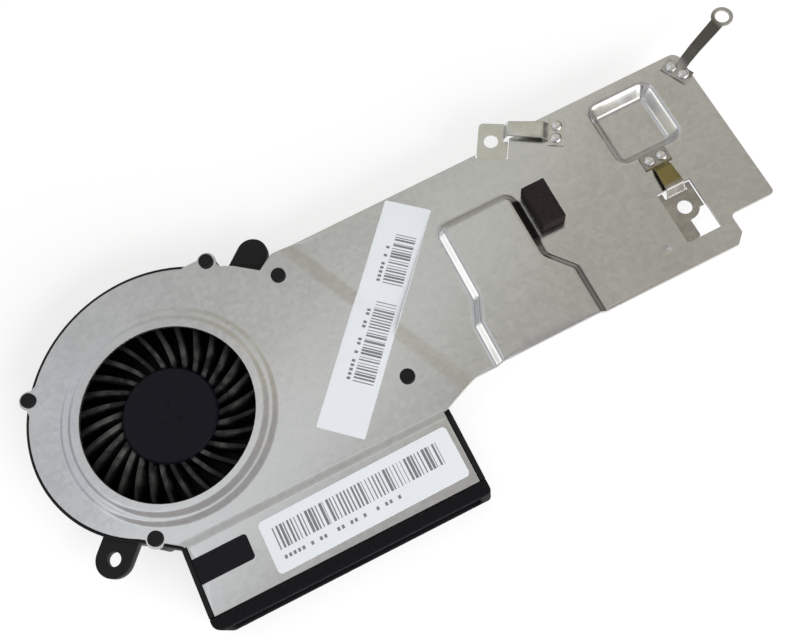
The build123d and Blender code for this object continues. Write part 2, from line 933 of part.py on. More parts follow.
def plate_label():
    """Long white sticker laid slantwise, following the sheet's joggle."""
    plan = sticker_plan(label_x, label_y, label_long, label_wide, label_angle, label_round)
    return joggled_layer(0.0, label_thick) & prism(plan, -far, far)


def outlet_label():
    """White sticker on the outlet cover."""
    plan = sticker_plan(
        outlet_label_x,
        outlet_label_y,
        outlet_label_long,
        outlet_label_wide,
        outlet_label_angle,
        outlet_label_round,
    )
    return prism(plan, outlet_rise, outlet_rise + label_thick)


def edge_tape():
    """Black tape at the end of the outlet cover."""
    left = duct_left + duct_lip
    right = left + tape_long
    low = tape_y - tape_wide / 2
    high = tape_y + tape_wide / 2
    plan = polygon((left, low), (right, low), (right, high), (left, high))
    plan = rounded(plan, tape_round, (right, low), (right, high))
    return prism(plan, outlet_rise, outlet_rise + label_thick)


def foam_block():
    """Foam spacer that stands on the spreader beside the tray."""
    spot = Pos(*from_pocket(foam_from_pocket))
    return prism(spot * Rectangle(foam_wide, foam_long), spreader_top, spreader_top + foam_tall)


pieces = {
    "heat_spreader": heat_spreader,
    "fan_housing": fan_housing,
    "impeller": impeller,
    "rotor_yoke": rotor_yoke,
    "rotor_magnet": rotor_magnet,
    "rotor_shaft": rotor_shaft,
    "bearing_tube": bearing_tube,
    "bearing_sleeve": bearing_sleeve,
    "thrust_plate": thrust_plate,
    "retaining_washer": retaining_washer,
    "stator_core": stator_core,
    "stator_coils": stator_coils,
    "driver_board": driver_board,
    "driver_chip": driver_chip,
    "fin_stack": fin_stack,
    "outlet_gasket": outlet_gasket,
    "arm_left": arm_left,
    "arm_right": arm_right,
    "arm_front": arm_front,
    "arm_rivets": arm_rivets,
    "plate_label": plate_label,
    "outlet_label": outlet_label,
    "edge_tape": edge_tape,
    "foam_block": foam_block,
}

os.makedirs("parts", exist_ok=True)
to_contact = Pos(-pocket_x, -pocket_y, -contact_level)
for name, make in pieces.items():
    shape = make()
    if isinstance(shape, list):
        shape = Compound(children=[to_contact * solid for solid in shape])
    else:
        shape = to_contact * shape
    export_step(shape, f"parts/{name}.step")
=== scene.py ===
import json
import math

import bmesh
import bpy
import numpy as np
from mathutils import Matrix, Vector, noise
from mathutils.bvhtree import BVHTree
from mathutils.geometry import delaunay_2d_cdt

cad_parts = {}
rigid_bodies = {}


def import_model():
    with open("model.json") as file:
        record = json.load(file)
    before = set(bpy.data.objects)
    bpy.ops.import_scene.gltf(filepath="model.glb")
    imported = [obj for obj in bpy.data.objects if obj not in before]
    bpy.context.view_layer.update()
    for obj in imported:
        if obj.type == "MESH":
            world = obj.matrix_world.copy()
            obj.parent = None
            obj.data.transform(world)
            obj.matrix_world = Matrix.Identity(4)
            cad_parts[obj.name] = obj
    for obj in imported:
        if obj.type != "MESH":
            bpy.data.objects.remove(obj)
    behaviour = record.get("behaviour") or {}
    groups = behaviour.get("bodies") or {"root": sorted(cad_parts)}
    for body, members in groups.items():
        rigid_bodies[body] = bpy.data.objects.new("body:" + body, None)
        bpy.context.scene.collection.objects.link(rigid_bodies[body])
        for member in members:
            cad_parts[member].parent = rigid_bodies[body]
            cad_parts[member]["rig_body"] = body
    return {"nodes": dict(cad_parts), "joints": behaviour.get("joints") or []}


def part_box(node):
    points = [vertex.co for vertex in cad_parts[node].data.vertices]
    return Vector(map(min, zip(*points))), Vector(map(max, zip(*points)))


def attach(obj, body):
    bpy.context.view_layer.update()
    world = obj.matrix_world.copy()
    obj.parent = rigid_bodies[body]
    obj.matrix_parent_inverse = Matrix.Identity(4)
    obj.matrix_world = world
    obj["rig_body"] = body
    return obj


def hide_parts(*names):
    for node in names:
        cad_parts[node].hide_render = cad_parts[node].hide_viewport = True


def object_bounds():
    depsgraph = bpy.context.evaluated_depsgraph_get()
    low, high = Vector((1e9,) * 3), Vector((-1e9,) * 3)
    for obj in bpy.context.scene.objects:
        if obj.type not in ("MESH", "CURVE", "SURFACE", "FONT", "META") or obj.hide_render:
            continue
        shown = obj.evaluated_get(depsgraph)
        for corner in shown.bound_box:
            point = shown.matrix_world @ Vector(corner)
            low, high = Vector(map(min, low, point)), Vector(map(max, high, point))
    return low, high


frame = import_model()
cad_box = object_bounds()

MM = 0.001
nodes = frame["nodes"]
fan_axis = Vector(frame["joints"][0]["pos_m"])

# Mesh work: weld distance in metres, a length of nothing, and the angles between faces
# that count as flat, as an edge to round and as a crease
WELD = 1e-6
TINY = 1e-9
SAME_PLANE = 0.004
ROUNDED_EDGE = math.radians(32.0)
MOULDING_CREASE = math.radians(34.0)
RIVET_CREASE = math.radians(42.0)

# Upright share of a face's normal on a level face, and the least on a sheet's upper skin
LEVEL_FACE = 0.9995
UPPER_FACE = 0.05

# Sheet work: grid cells in a bend's radius, curvature per metre that counts as a bend,
# and the share of an offset below which a sharp corner's mitre grows no longer
EASE_CELLS = 2.5
BEND_CURVE = 20.0
MITRE_LIMIT = 0.35


class Reading:
    """A number that changes over a surface; arithmetic on it adds Math nodes."""

    def __init__(self, finish, socket):
        self.finish = finish
        self.socket = socket

    def maths(self, operation, *terms):
        sockets = dict(enumerate(terms))
        return self.finish.add("Math", {"operation": operation}, sockets)

    def __add__(self, other):
        return self.maths("ADD", self, other)

    def __radd__(self, other):
        return self.maths("ADD", other, self)

    def __sub__(self, other):
        return self.maths("SUBTRACT", self, other)

    def __rsub__(self, other):
        return self.maths("SUBTRACT", other, self)

    def __mul__(self, other):
        return self.maths("MULTIPLY", self, other)

    def __rmul__(self, other):
        return self.maths("MULTIPLY", other, self)

    def __truediv__(self, other):
        return self.maths("DIVIDE", self, other)

    def __rtruediv__(self, other):
        return self.maths("DIVIDE", other, self)

    def __gt__(self, other):
        return self.maths("GREATER_THAN", self, other)

    def __lt__(self, other):
        return self.maths("LESS_THAN", self, other)

    def floor(self):
        return self.maths("FLOOR", self)

    def fraction(self):
        return self.maths("FRACT", self)

    def sine(self):
        return self.maths("SINE", self)

    def root(self):
        return self.maths("SQRT", self)

    def larger(self, other):
        return self.maths("MAXIMUM", self, other)

    def within(self, low, high):
        return (self > low) * (self < high)


class Finish:
    """Nodes of one material or of the world, added through one method."""

    def __init__(self, name, owner=None):
        self.owner = owner or bpy.data.materials.new(name)
        self.owner.use_nodes = True
        self.tree = self.owner.node_tree
        self.tree.nodes.clear()

    def add(self, kind, settings=None, sockets=None, out=0):
        """A new node with its settings, then its sockets' values or links; gives one output."""
        node = self.tree.nodes.new("ShaderNode" + kind)
        for key, value in (settings or {}).items():
            if key == "stops":
                self.set_stops(node.color_ramp, value)
            else:
                setattr(node, key, value)
        for key, value in (sockets or {}).items():
            if isinstance(value, Reading):
                self.tree.links.new(value.socket, node.inputs[key])
            else:
                node.inputs[key].default_value = value
        return Reading(self, node.outputs[out]) if node.outputs else None

    def set_stops(self, ramp, stops):
        while len(ramp.elements) < len(stops):
            ramp.elements.new(0.5)
        for element, (place, grey) in zip(ramp.elements, stops):
            element.position = place
            element.color = (grey, grey, grey, 1.0)

    def place(self, stretch=(1.0, 1.0, 1.0)):
        """Place on the piece, in metres times the stretch."""
        spot = self.add("TexCoord", out="Object")
        return self.add("VectorMath", {"operation": "MULTIPLY"}, {0: spot, 1: stretch})

    def axes(self, spot):
        return [self.add("SeparateXYZ", None, {0: spot}, out) for out in range(3)]

    def cloud(self, scale, detail, rough, stretch=(1.0, 1.0, 1.0)):
        sockets = {
            "Vector": self.place(stretch), "Scale": scale, "Detail": detail, "Roughness": rough,
        }
        return self.add("TexNoise", None, sockets, "Fac")

    def cells(self, scale, out="Distance"):
        return self.add("TexVoronoi", None, {"Vector": self.place(), "Scale": scale}, out)

    def ramp(self, value, *stops):
        return self.add("ValToRGB", {"stops": stops}, {0: value})

    def blend(self, share, low, high):
        """Colour between two others, by the Mix node's sockets for colours: 6, 7 and output 2."""
        sockets = {0: share, 6: low, 7: high}
        return self.add("Mix", {"data_type": "RGBA"}, sockets, 2)

    def bump(self, height, strength, distance):
        sockets = {"Height": height, "Strength": strength, "Distance": distance}
        return self.add("Bump", None, sockets)

    def surface(self, sockets, **fixed):
        """The finished material, with its constants named after the shader's own sockets."""
        sockets = dict(sockets)
        for key, value in fixed.items():
            sockets[key.replace("_", " ")] = value
        shader = self.add("BsdfPrincipled", None, sockets)
        self.add("OutputMaterial", None, {"Surface": shader})
        return self.owner


def tone(red, green, blue):
    """Colour socket value."""
    return (red, green, blue, 1.0)


# Finishes


def rolled_sheet():
    """Satin rolled aluminium: spangle, cloudy patches, small pits, and steep walls painted lighter as a
    painted highlight.
    """
    f = Finish("rolled_sheet")
    patches = f.cloud(55.0, 4.0, 0.6)
    drift = f.cloud(24.0, 2.0, 0.5)
    grain = f.cloud(1.0, 3.0, 0.6, (260.0, 5200.0, 900.0))
    speck = f.cloud(5200.0, 2.0, 0.7)
    spangle = f.axes(f.cells(950.0, "Color"))[0]
    pits = f.ramp(f.cells(420.0), (0.0, 1.0), (0.07, 0.0))
    mottle = patches * 0.45 + grain * 0.2 + speck * 0.15 + spangle * 0.2
    shade = f.ramp(mottle, (0.3, 0.0), (0.7, 1.0))
    dull = f.blend(drift, tone(0.545, 0.54, 0.535), tone(0.52, 0.53, 0.54))
    colour = f.blend(shade, dull, tone(0.64, 0.64, 0.64))
    colour = f.blend(pits * 0.4, colour, tone(0.34, 0.33, 0.32))
    # Painted highlight: steep walls get a lighter base colour than the flats.
    upright = f.axes(f.add("NewGeometry", out="Normal"))[2]
    painted_wall_highlight = f.ramp(upright * upright, (0.4, 1.0), (0.75, 0.0))
    colour = f.blend(painted_wall_highlight, colour, tone(0.8, 0.8, 0.79))
    relief = grain * 0.5 + speck * 0.35 + spangle * 0.15 - pits * 0.5
    return f.surface({
        "Base Color": colour,
        "Roughness": 0.14 + shade * 0.06 + speck * 0.05,
        "Normal": f.bump(relief, 0.045, 0.03 * MM),
    }, Metallic=1.0)


def sheared_edge():
    """Cut edge of the sheet, torn in streaks from skin to skin."""
    f = Finish("sheared_edge")
    tear = f.cloud(1.0, 2.0, 0.6, (5200.0, 5200.0, 500.0))
    colour = f.blend(tear, tone(0.5, 0.5, 0.49), tone(0.72, 0.72, 0.71))
    return f.surface({
        "Base Color": colour,
        "Roughness": 0.3 + tear * 0.2,
        "Normal": f.bump(tear, 0.2, 0.05 * MM),
    }, Metallic=1.0)


def case_plastic():
    """Black moulded plastic with a fine eroded skin."""
    f = Finish("case_plastic")
    skin = f.cloud(6500.0, 2.0, 0.6)
    wear = f.cloud(140.0, 4.0, 0.6)
    colour = f.blend(wear, tone(0.005, 0.005, 0.006), tone(0.011, 0.011, 0.012))
    return f.surface({
        "Base Color": colour,
        "Roughness": 0.42 + wear * 0.16,
        "Normal": f.bump(skin, 0.16, 0.06 * MM),
    }, Specular_IOR_Level=0.2)


def impeller_plastic():
    """Dark moulding: a near-black hub with a violet cast; blades with painted highlight streaks that
    darken outward as painted shade.
    """
    hub_edge = 9.7
    hub_fade = 0.6
    wheel = 20.0
    f = Finish("impeller_plastic")
    skin = f.cloud(5200.0, 2.0, 0.6)
    flow = f.cloud(260.0, 4.0, 0.55)
    x, y, _ = f.axes(f.place())
    x = (x - fan_axis.x) / MM
    y = (y - fan_axis.y) / MM
    radius = (x * x + y * y).root() / wheel
    outside = f.ramp(radius, (hub_edge / wheel, 0.0), ((hub_edge + hub_fade) / wheel, 1.0))
    hub = f.blend(flow, tone(0.0025, 0.0027, 0.006), tone(0.0038, 0.004, 0.0085))
    # The blades' dust mask is painted light: lighter noise streaks as painted highlights, fading
    # towards the outer ends as painted shade under the collar.
    dust = f.ramp(flow, (0.42, 0.0), (0.64, 1.0)) * f.ramp(radius, (0.6, 1.0), (0.84, 0.12))
    blades = f.blend(dust, tone(0.009, 0.009, 0.009), tone(0.085, 0.085, 0.08))
    return f.surface({
        "Base Color": f.blend(outside, hub, blades),
        "Roughness": 0.36 + flow * 0.16,
        "Normal": f.bump(skin, 0.1, 0.05 * MM),
    }, Specular_IOR_Level=0.16)


def foam(name, dark, light, scale):
    """Open-celled foam: pores between small bright cell edges."""
    f = Finish(name)
    pores = f.ramp(f.cells(scale), (0.05, 0.0), (0.55, 1.0))
    grain = f.cloud(scale * 1.7, 3.0, 0.65)
    share = pores * 0.6 + grain * 0.4
    return f.surface({
        "Base Color": f.blend(share, tone(*dark), tone(*light)),
        "Roughness": 0.86 + grain * 0.1,
        "Normal": f.bump(share, 0.55, 0.18 * MM),
    }, Specular_IOR_Level=0.18)


def spring_steel(name, dull, bright, painted_reflection=None):
    """Plated spring sheet, brushed along its length.

    A painted reflection of another colour can lie on its strip: axis along the strip, both ends in mm,
    colour.
    """
    f = Finish(name)
    lines = f.cloud(1.0, 3.0, 0.6, (900.0, 4200.0, 900.0))
    stain = f.cloud(420.0, 4.0, 0.6)
    share = f.ramp(lines * 0.4 + stain * 0.6, (0.3, 0.0), (0.7, 1.0))
    colour = f.blend(share, tone(*dull), tone(*bright))
    # Painted reflection: a strip of another colour along the arm, fading in and out at its ends.
    if painted_reflection:
        axis, low, high, shade = painted_reflection
        along = (f.axes(f.place())[axis] / MM - low) / (high - low)
        strip = f.ramp(along, (0.0, 0.0), (0.14, 1.0), (0.88, 1.0), (1.0, 0.0))
        colour = f.blend(strip, colour, tone(*shade))
    return f.surface({
        "Base Color": colour,
        "Roughness": 0.24 + stain * 0.14,
        "Normal": f.bump(lines, 0.12, 0.04 * MM),
    }, Metallic=1.0)


def plain_metal(name, dull, bright, rough, scale=900.0):
    """Turned or pressed metal with faint clouding."""
    f = Finish(name)
    clouding = f.cloud(scale, 4.0, 0.6)
    skin = f.cloud(scale * 6.0, 2.0, 0.6)
    return f.surface({
        "Base Color": f.blend(clouding, tone(*dull), tone(*bright)),
        "Roughness": rough + clouding * 0.12,
        "Normal": f.bump(skin, 0.12, 0.04 * MM),
    }, Metallic=1.0)


def plain_moulding(name, dull, bright, rough):
    """Small moulded or pressed piece with a fine even skin."""
    f = Finish(name)
    clouding = f.cloud(1200.0, 3.0, 0.6)
    skin = f.cloud(6000.0, 2.0, 0.6)
    return f.surface({
        "Base Color": f.blend(clouding, tone(*dull), tone(*bright)),
        "Roughness": rough + clouding * 0.1,
        "Normal": f.bump(skin, 0.15, 0.05 * MM),
    })


def uneven_bar(share, dice):
    """Inked part of a bar's pitch, wider or narrower by the dice."""
    return share < dice * 0.62 + 0.16


def small_block(share, dice):
    """Inked part of a block's pitch, with some blocks missing by the dice."""
    return share.within(0.12, 0.72) * (dice > 0.18)


def label_paper(name, node, degrees, bars, rows):
    """Satin white paper with printed bars of uneven width and rows of small blocks.

    Bars and rows are strips of left, right, foot, head and pitch in mm from the label's middle.
    """
    f = Finish(name)
    low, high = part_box(node)
    middle = (low + high) / 2
    turn = math.radians(degrees)
    x, y, _ = f.axes(f.place())
    x = (x - middle.x) / MM
    y = (y - middle.y) / MM
    along = x * math.cos(turn) + y * math.sin(turn)
    across = y * math.cos(turn) - x * math.sin(turn)
    ink = along * 0.0
    for strips, mark, first_draw in ((bars, uneven_bar, 5.3), (rows, small_block, 31.7)):
        for left, right, foot, head, pitch in strips:
            step = (along - left) / pitch
            draw = {"W": step.floor() + first_draw}
            dice = f.add("TexWhiteNoise", {"noise_dimensions": "1D"}, draw, "Value")
            printed = along.within(left, right) * across.within(foot, head)
            ink = ink + printed * mark(step.fraction(), dice)
    fibre = f.cloud(2600.0, 3.0, 0.6)
    cast = f.cloud(90.0, 3.0, 0.5)
    paper = f.blend(cast, tone(0.745, 0.775, 0.82), tone(0.815, 0.84, 0.88))
    ink = ink * (0.7 + fibre * 0.2)
    return f.surface({
        "Base Color": f.blend(ink, paper, tone(0.045, 0.044, 0.05)),
        "Roughness": 0.42 + fibre * 0.14,
        "Normal": f.bump(fibre, 0.08, 0.04 * MM),
    }, Specular_IOR_Level=0.4)


def tape_cloth():
    """Black woven tape: crossing threads under a matt coat."""
    threads = 13.0
    f = Finish("tape_cloth")
    x, y, _ = f.axes(f.place((1.0 / MM, 1.0 / MM, 1.0 / MM)))
    weave = (x * threads).sine() * (y * threads).sine() * 0.5 + 0.5
    dust = f.cloud(700.0, 4.0, 0.6)
    share = weave * 0.5 + dust * 0.5
    return f.surface({
        "Base Color": f.blend(share, tone(0.006, 0.006, 0.008), tone(0.014, 0.0135, 0.017)),
        "Roughness": 0.7 + dust * 0.16,
        "Normal": f.bump(weave, 0.25, 0.05 * MM),
    }, Specular_IOR_Level=0.14)


# Shapes


def cad_copy(node):
    """The node's solid as one welded mesh to work on."""
    shape = bmesh.new()
    shape.from_mesh(nodes[node].data)
    bmesh.ops.remove_doubles(shape, verts=shape.verts, dist=WELD)
    return shape


def rounded_copy(node, width, steps):
    """The node's solid to work on, with its outer edges rounded."""
    shape = cad_copy(node)
    bmesh.ops.dissolve_limit(shape, angle_limit=SAME_PLANE, verts=shape.verts, edges=shape.edges)
    picked = [e for e in shape.edges if e.is_convex and e.calc_face_angle(0.0) > ROUNDED_EDGE]
    bmesh.ops.bevel(
        shape, geom=picked, offset=width, offset_type="OFFSET", segments=steps, profile=0.5,
        affect="EDGES", clamp_overlap=False,
    )
    return shape


def new_piece(name, mesh, node, *finishes):
    """Object for a mesh that stands for a CAD node and moves with its body."""
    piece = bpy.data.objects.new(name, mesh)
    bpy.context.scene.collection.objects.link(piece)
    for finish in finishes:
        mesh.materials.append(finish)
    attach(piece, nodes[node]["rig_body"])
    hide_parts(node)
    return piece


def moulded(name, node, finish, width):
    """The node's solid with its outer edges rounded and its level faces kept flat."""
    shape = rounded_copy(node, width, steps=2)
    bmesh.ops.triangulate(shape, faces=[face for face in shape.faces if len(face.verts) > 4])
    mesh = bpy.data.meshes.new(name)
    shape.to_mesh(mesh)
    shape.free()
    mesh.set_sharp_from_angle(angle=MOULDING_CREASE)
    for face in mesh.polygons:
        face.use_smooth = abs(face.normal.z) < LEVEL_FACE
    return new_piece(name, mesh, node, finish)


def ring_area(ring):
    """Area of a plan ring, negative where it runs clockwise."""
    after = np.roll(ring, -1, axis=0)
    return 0.5 * float(np.sum(ring[:, 0] * after[:, 1] - after[:, 0] * ring[:, 1]))


def skin_loops(shape):
    """Closed plan outlines of a sheet's upper skin, material on the left."""
    beside = {}
    for edge in shape.edges:
        if sum(face.normal.z > UPPER_FACE for face in edge.link_faces) == 1:
            a, b = edge.verts
            beside.setdefault(a, []).append(b)
            beside.setdefault(b, []).append(a)
    loops = []
    while beside:
        start = next(iter(beside))
        run = [start]
        while True:
            before = run[-2] if len(run) > 1 else None
            onward = [v for v in beside[run[-1]] if v in beside and v is not before]
            if not onward or onward[0] is start:
                break
            run.append(onward[0])
        for vert in run:
            beside.pop(vert)
        loops.append(np.array([vert.co.xy for vert in run]))
    areas = [ring_area(loop) for loop in loops]
    outer = int(np.argmax(np.abs(areas)))
    for k, area in enumerate(areas):
        if (area > 0) != (k == outer):
            loops[k] = loops[k][::-1]
    return loops


def pulled_in(ring, depth):
    """The ring moved to its left, into the material."""
    before = ring - np.roll(ring, 1, axis=0)
    after = np.roll(ring, -1, axis=0) - ring
    before /= np.linalg.norm(before, axis=1)[:, None]
    after /= np.linalg.norm(after, axis=1)[:, None]
    lefts = [np.column_stack((-way[:, 1], way[:, 0])) for way in (before, after)]
    middle = lefts[0] + lefts[1]
    middle /= np.maximum(np.sum(middle * lefts[0], axis=1), MITRE_LIMIT)[:, None]
    return ring + middle * depth


def inside(points, loops):
    """Which points lie in the material, by counting crossed edges."""
    odd = np.zeros(len(points), bool)
    for ring in loops:
        for a, b in zip(ring, np.roll(ring, -1, axis=0)):
            if a[1] == b[1]:
                continue
            spans = (points[:, 1] > a[1]) != (points[:, 1] > b[1])
            across = a[0] + (points[:, 1] - a[1]) * (b[0] - a[0]) / (b[1] - a[1])
            odd ^= spans & (points[:, 0] < across)
    return odd


def near_ring(points, loops, reach):
    """Which points lie within reach of an outline."""
    close = np.zeros(len(points), bool)
    for ring in loops:
        for a, b in zip(ring, np.roll(ring, -1, axis=0)):
            way = b - a
            share = np.clip(((points - a) @ way) / max(way @ way, TINY ** 2), 0.0, 1.0)
            close |= np.linalg.norm(points - a - share[:, None] * way, axis=1) < reach
    return close


def clear_of_rim(points, loops, reach):
    """The points in the material that keep their distance from its outlines."""
    points = points[inside(points, loops)]
    return points[~near_ring(points, loops, reach)]


def lattice(loops, pitch):
    """Square grid of plan points over the outlines."""
    low = np.min(np.vstack(loops), axis=0)
    high = np.max(np.vstack(loops), axis=0)
    xs = np.arange(low[0] + pitch / 2, high[0], pitch)
    ys = np.arange(low[1] + pitch / 2, high[1], pitch)
    return np.array([(x, y) for y in ys for x in xs])


class HeightMap:
    """Upper level of a sheet over a fine grid, with its bends eased to a radius."""

    def __init__(self, shape, low, high, radius):
        self.pitch = radius / EASE_CELLS
        margin = radius + 2 * self.pitch
        self.start = np.array((low.x - margin, low.y - margin))
        columns = int((high.x - low.x + 2 * margin) / self.pitch) + 2
        rows = int((high.y - low.y + 2 * margin) / self.pitch) + 2
        self.levels = self.eased(self.measured(shape, rows, columns, high.z + 10 * MM))
        bends = 0.0
        for axis in (0, 1):
            change = np.diff(self.levels, 2, axis=axis, prepend=np.nan, append=np.nan)
            bends = bends + np.abs(change)
        self.bends = np.nan_to_num(bends / self.pitch ** 2)

    def measured(self, shape, rows, columns, above):
        """Level that a ray from above meets at each grid point."""
        tree = BVHTree.FromBMesh(shape)
        down = Vector((0.0, 0.0, -1.0))
        levels = np.full((rows, columns), np.nan)
        for row in range(rows):
            y = self.start[1] + row * self.pitch
            for column in range(columns):
                x = self.start[0] + column * self.pitch
                spot = tree.ray_cast(Vector((x, y, above)), down)[0]
                if spot:
                    levels[row, column] = spot.z
        return levels

    def eased(self, levels):
        """Each level averaged with its neighbours in a disc, nearest first."""
        known = ~np.isnan(levels)
        filled = np.where(known, levels, 0.0)
        total = np.zeros_like(filled)
        weight = np.zeros_like(filled)
        reach = int(EASE_CELLS)
        for down in range(-reach, reach + 1):
            for across in range(-reach, reach + 1):
                share = 1.0 - (down * down + across * across) / EASE_CELLS ** 2
                if share > 0.0:
                    total += share * np.roll(filled, (down, across), axis=(0, 1))
                    weight += share * np.roll(known, (down, across), axis=(0, 1))
        return np.where(weight > 0.0, total / np.maximum(weight, TINY), np.nan)

    def cell(self, spots):
        """Grid corner below each plan point, and the point's share of the cell."""
        place = (np.asarray(spots) - self.start) / self.pitch
        corner = np.floor(place).astype(int)
        return corner, place - corner

    def at(self, spots):
        """Levels at the given plan points, between the grid's own."""
        corner, share = self.cell(spots)
        total = np.zeros(len(corner))
        weight = np.zeros(len(corner))
        for dx in (0, 1):
            for dy in (0, 1):
                part = np.abs(1 - dx - share[:, 0]) * np.abs(1 - dy - share[:, 1]) + TINY
                level = self.levels[corner[:, 1] + dy, corner[:, 0] + dx]
                known = ~np.isnan(level)
                total[known] += (part * level)[known]
                weight[known] += part[known]
        return total / weight

    def bending(self, spots, reach):
        """Which plan points lie on a bend or within reach of one."""
        steps = int(round(reach / self.pitch))
        curved = self.bends > BEND_CURVE
        wide = curved.copy()
        for shift in range(-steps, steps + 1):
            wide |= np.roll(curved, shift, axis=0) | np.roll(curved, shift, axis=1)
        corner, _ = self.cell(spots)
        return wide[corner[:, 1], corner[:, 0]]


def filling(loops, inner, heights, fine, coarse):
    """Plan points inside a sheet's outlines: far apart on its flats, close along its bends."""
    wide_gap = 0.45 * coarse
    close_gap = 0.5 * fine
    wide = clear_of_rim(lattice(loops, coarse), inner, wide_gap)
    close = lattice(loops, fine)
    close = clear_of_rim(close[heights.bending(close, fine)], inner, close_gap)
    if len(close):
        taken = {tuple(cell) for cell in np.round(close / coarse)}
        keep = [tuple(cell) not in taken for cell in np.round(wide / coarse)]
        wide = wide[np.array(keep, bool)]
    return np.vstack((wide, close))


def plan_triangles(inner, fill):
    """Corners and triangles over a plan, and the corner that each outline point became."""
    points = [tuple(spot) for ring in inner for spot in ring]
    links = []
    first = 0
    for ring in inner:
        count = len(ring)
        links += [(first + k, first + (k + 1) % count) for k in range(count)]
        first += count
    points += [tuple(spot) for spot in fill]
    flat = delaunay_2d_cdt([Vector(spot) for spot in points], links, [], 0, TINY)
    spots = np.array([tuple(spot) for spot in flat[0]])
    faces = np.array(flat[2])
    faces = faces[inside(spots[faces].mean(axis=1), inner)]
    drawn_as = {given: k for k, kept in enumerate(flat[3]) for given in kept}
    return spots, faces, drawn_as


def rolled_rim(rim, thick):
    """Inset and drop of each row round a sheet's edge, from the upper skin to the lower."""
    angles = [math.radians(degrees) for degrees in (30.0, 60.0, 90.0)]
    upper = [(rim * (1 - math.sin(a)), -rim * (1 - math.cos(a))) for a in angles]
    return upper + [(inset, -thick - drop) for inset, drop in reversed(upper)]


def formed_sheet(name, node, finish, edge_finish, thick, bend, fine, coarse, rim):
    """A CAD sheet drawn again with rounded bends and rolled edges."""
    shape = cad_copy(node)
    loops = skin_loops(shape)
    heights = HeightMap(shape, *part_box(node), bend)
    shape.free()
    inner = [pulled_in(ring, rim) for ring in loops]
    fill = filling(loops, inner, heights, fine, coarse)
    spots, faces, drawn_as = plan_triangles(inner, fill)
    tops = heights.at(spots)

    count = len(spots)
    coords = [(x, y, z) for (x, y), z in zip(spots, tops)]
    coords += [(x, y, z - thick) for (x, y), z in zip(spots, tops)]
    skin = [tuple(face) for face in faces]
    skin += [tuple(count + v for v in face[::-1]) for face in faces]
    rims = []
    creases = set()
    first = 0
    for ring in loops:
        size = len(ring)
        top = [drawn_as[first + k] for k in range(size)]
        first += size
        rows = [top]
        for inset, drop in rolled_rim(rim, thick):
            line = pulled_in(ring, inset)
            rows.append(list(range(len(coords), len(coords) + size)))
            coords += [(x, y, tops[k] + drop) for (x, y), k in zip(line, top)]
        rows.append([count + k for k in top])
        for upper, lower in zip(rows, rows[1:]):
            for k in range(size):
                onward = (k + 1) % size
                rims.append((upper[onward], upper[k], lower[k], lower[onward]))
        for row in (rows[0], rows[-1]):
            creases.update(tuple(sorted((row[k], row[(k + 1) % size]))) for k in range(size))

    mesh = bpy.data.meshes.new(name)
    mesh.from_pydata(coords, [], skin + rims)
    mesh.update()
    mesh.shade_smooth()
    sharp = mesh.attributes.new("sharp_edge", "BOOLEAN", "EDGE")
    for edge in mesh.edges:
        sharp.data[edge.index].value = tuple(sorted(edge.vertices)) in creases
    piece = new_piece(name, mesh, node, finish, edge_finish)
    for face in mesh.polygons:
        face.material_index = 1 if face.index >= len(skin) else 0
    return piece


def islands(node):
    """Lowest and highest corner of each separate solid in a node."""
    shape = cad_copy(node)
    left = set(shape.verts)
    boxes = []
    while left:
        reach = [left.pop()]
        group = []
        while reach:
            vert = reach.pop()
            group.append(vert.co.copy())
            for edge in vert.link_edges:
                other = edge.other_vert(vert)
                if other in left:
                    left.remove(other)
                    reach.append(other)
        group = np.array(group)
        boxes.append((group.min(axis=0), group.max(axis=0)))
    shape.free()
    return sorted(boxes, key=lambda box: tuple(box[0]))


def spun(profile, around):
    """Vertices and faces of a profile of radius and level turned about its own axis."""
    coords = []
    faces = []
    for radius, level in profile:
        for k in range(around):
            angle = k * math.tau / around
            coords.append(Vector((radius * math.cos(angle), radius * math.sin(angle), level)))
    for row in range(len(profile) - 1):
        for k in range(around):
            onward = (k + 1) % around
            a = row * around
            faces.append((a + k, a + onward, a + around + onward, a + around + k))
    faces.append(tuple(reversed(range(around))))
    last = (len(profile) - 1) * around
    faces.append(tuple(last + k for k in range(around)))
    return coords, faces


def rivets(name, node, finish):
    """Formed rivets with domed heads and a small set mark on the crown."""
    head_high = 0.8 * MM
    head_rim = 0.1 * MM
    dome_high = 0.7 * MM
    mark_high = 0.72 * MM
    around = 28
    coords = []
    faces = []
    for low, high in islands(node):
        middle = Vector((low + high) / 2)
        radius = (high[0] - low[0]) / 2
        shank = 0.62 * radius
        tail = low[2]
        foot = high[2] - head_high
        profile = [
            (0.86 * radius, tail), (radius, tail + 0.08 * MM), (radius, tail + 0.24 * MM),
            (shank, tail + 0.3 * MM), (shank, foot), (0.97 * radius, foot), (radius, foot + head_rim),
        ]
        for degrees in (12, 26, 40, 54, 66, 76):
            angle = math.radians(degrees)
            level = foot + head_rim + dome_high * math.sin(angle)
            profile.append((radius * math.cos(angle), level))
        profile.append((0.14 * radius, foot + mark_high))
        points, rings = spun(profile, around)
        first = len(coords)
        coords += [Vector((middle.x, middle.y, 0.0)) + point for point in points]
        faces += [tuple(first + k for k in ring) for ring in rings]
    mesh = bpy.data.meshes.new(name)
    mesh.from_pydata(coords, [], faces)
    mesh.update()
    mesh.shade_smooth()
    mesh.set_sharp_from_angle(angle=RIVET_CREASE)
    return new_piece(name, mesh, node, finish)


